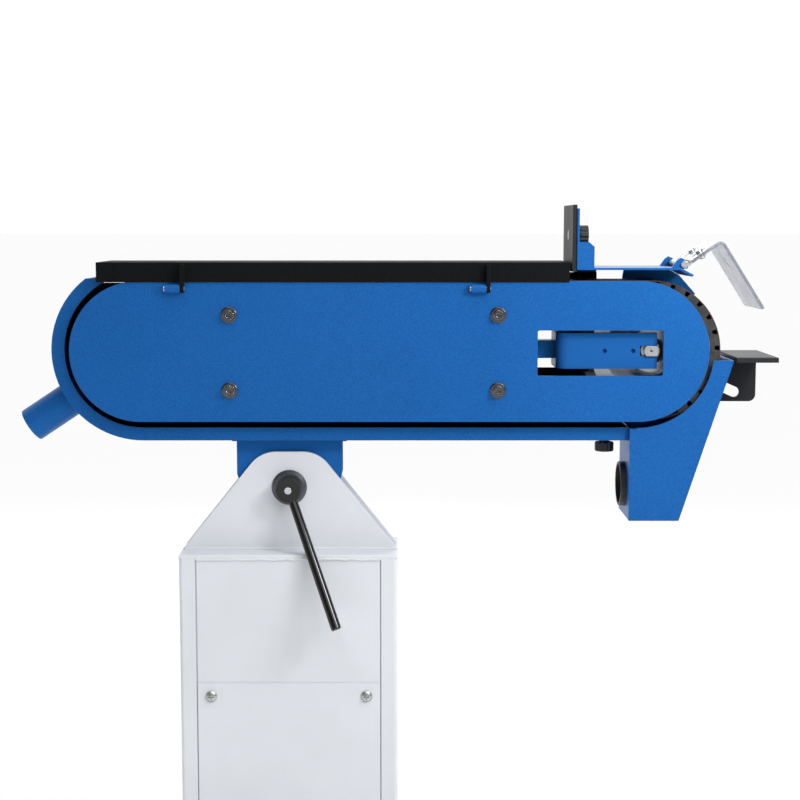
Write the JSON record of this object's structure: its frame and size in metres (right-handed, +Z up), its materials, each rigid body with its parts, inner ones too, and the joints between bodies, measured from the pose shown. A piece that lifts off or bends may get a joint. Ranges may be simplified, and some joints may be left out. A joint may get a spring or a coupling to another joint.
{
  "type": "belt grinder",
  "caption": "Free-standing belt grinder on a sheet-metal column, with a tilting head, contact wheel, spark chute, work table and clear shield.",
  "frame": {"origin": "centre of the floor-bolt pattern on the underside of the base plate", "axes": "+X along the belt towards the contact wheel, +Y to the back where the motor is, +Z up"},
  "size_m": [1.0466, 0.541, 1.1315],
  "materials": {
    "blue_paint": "textured powder coat",
    "black_guard": "satin powder coat",
    "stand_paint": "fine textured powder coat",
    "frame_black": "matt paint",
    "dark_steel": "satin blackened steel",
    "zinc_steel": "zinc plated",
    "chrome": "polished",
    "black_gloss": "gloss",
    "black_plastic": "moulded",
    "clear_sheet": "clear polycarbonate",
    "tread_rubber": "ground rubber",
    "cast_aluminium": "machined casting",
    "motor_paint": "cast and painted",
    "bright_steel": "ground",
    "copper_winding": "enamelled wire",
    "abrasive": "coated abrasive cloth",
    "box_grey": "moulded box",
    "start_green": "moulded",
    "stop_red": "moulded"
  },
  "bodies": {
    "stand": {"base_plate": "stand_paint", "column_shell": "stand_paint", "service_cover": "stand_paint", "service_cover_screws": "zinc_steel", "column_head": "stand_paint", "pivot_bolt": "zinc_steel", "clamp_washer": "dark_steel"},
    "clamp_lever": {"clamp_lever": "black_gloss", "lever_screw": "chrome"},
    "head": {"pivot_bracket": "blue_paint", "frame_plate": "frame_black", "belt_shell": "blue_paint", "extraction_pipe": "blue_paint", "front_cover": "blue_paint", "cover_posts": "zinc_steel", "cover_screws": "chrome", "abrasive_belt": "abrasive", "platen": "frame_black", "stem_guide": "frame_black", "tension_spring": "bright_steel", "spark_chute": "blue_paint", "dust_port_collar": "black_plastic", "wheel_guard": "blue_paint", "wheel_guard_side": "blue_paint", "side_plate_bolts": "zinc_steel", "shield_pin": "chrome", "table_bolts": "zinc_steel", "motor_front_shield": "cast_aluminium", "motor_bolts": "zinc_steel", "motor_housing": "motor_paint", "motor_rear_shield": "cast_aluminium", "stator_core": "bright_steel", "stator_windings": "copper_winding", "motor_bearings": "bright_steel", "fan_cover": "black_plastic", "terminal_box": "box_grey", "terminal_lid": "box_grey", "cable_gland": "black_plastic"},
    "chute_knob": {"chute_knob": "black_plastic"},
    "top_guard": {"top_guard": "black_guard", "hinge_pins": "zinc_steel"},
    "drive_wheel": {"drive_wheel": "cast_aluminium", "wheel_key": "bright_steel", "drive_wheel_bolt": "zinc_steel", "motor_rotor": "bright_steel", "cooling_fan": "black_plastic"},
    "tension_fork": {"tension_fork": "blue_paint", "wheel_axle": "bright_steel"},
    "contact_wheel": {"contact_wheel_hub": "cast_aluminium", "contact_wheel_tread": "tread_rubber", "wheel_bearings": "bright_steel"},
    "work_stop": {"stop_plate": "dark_steel", "stop_screw": "zinc_steel"},
    "stop_knob": {"stop_knob": "black_plastic"},
    "shield_leaf": {"shield_leaf": "zinc_steel", "shield_screws": "zinc_steel"},
    "shield": {"clear_shield": "clear_sheet"},
    "work_table": {"work_table": "dark_steel"},
    "start_button": {"start_button": "start_green"},
    "stop_button": {"stop_button": "stop_red"}
  },
  "joints": [
    {"name": "head_tilt", "type": "hinge", "parent": "stand", "child": "head", "pos_m": [0, -0.045, 0.74], "axis": [0, 1, 0], "range_deg": [-45, 45]},
    {"name": "clamp_lever_turn", "type": "hinge", "parent": "stand", "child": "clamp_lever", "pos_m": [0, -0.045, 0.74], "axis": [0, 1, 0], "range_deg": [-70, 60]},
    {"name": "top_guard_hinge", "type": "hinge", "parent": "head", "child": "top_guard", "pos_m": [0, -0.111, 1.0185], "axis": [1, 0, 0], "range_deg": [0, 170]},
    {"name": "drive_wheel_spin", "type": "hinge", "parent": "head", "child": "drive_wheel", "pos_m": [-0.2, -0.045, 0.9325], "axis": [0, 1, 0], "continuous": true},
    {"name": "fork_slide", "type": "slide", "parent": "head", "child": "tension_fork", "axis": [1, 0, 0], "range_m": [-0.02, 0], "stiffness_N_per_m": 8000, "springref_m": 0.03, "deforming": ["tension_spring"]},
    {"name": "contact_wheel_spin", "type": "hinge", "parent": "tension_fork", "child": "contact_wheel", "pos_m": [0.499, -0.045, 0.9325], "axis": [0, 1, 0], "continuous": true},
    {"name": "stop_slide", "type": "slide", "parent": "head", "child": "work_stop", "axis": [0, 0, 1], "range_m": [-0.003, 0.025]},
    {"name": "stop_knob_turn", "type": "hinge", "parent": "work_stop", "child": "stop_knob", "pos_m": [0.41, -0.045, 1.0905], "axis": [1, 0, 0], "range_deg": [-180, 180]},
    {"name": "chute_knob_turn", "type": "hinge", "parent": "head", "child": "chute_knob", "pos_m": [0.442, -0.045, 0.795], "axis": [0, 0, 1], "range_deg": [-180, 180]},
    {"name": "shield_tilt", "type": "hinge", "parent": "head", "child": "shield_leaf", "pos_m": [0.54, -0.045, 1.0509], "axis": [0, 1, 0], "range_deg": [-95, 10]},
    {"name": "shield_slide", "type": "slide", "parent": "shield_leaf", "child": "shield", "axis": [0.8202, 0, 0.572], "range_m": [0, 0.008]},
    {"name": "table_slide", "type": "slide", "parent": "head", "child": "work_table", "axis": [0.9135, 0, -0.4067], "range_m": [0, 0.016]},
    {"name": "start_press", "type": "slide", "parent": "head", "child": "start_button", "axis": [-1, 0, 0], "range_m": [0, 0.004], "stiffness_N_per_m": 800, "springref_m": -0.001},
    {"name": "stop_press", "type": "slide", "parent": "head", "child": "stop_button", "axis": [-1, 0, 0], "range_m": [0, 0.005], "stiffness_N_per_m": 800, "springref_m": -0.001}
  ],
  "couplings": [
    {"joint": "contact_wheel_spin", "follows": "drive_wheel_spin", "ratio": 1}
  ]
}
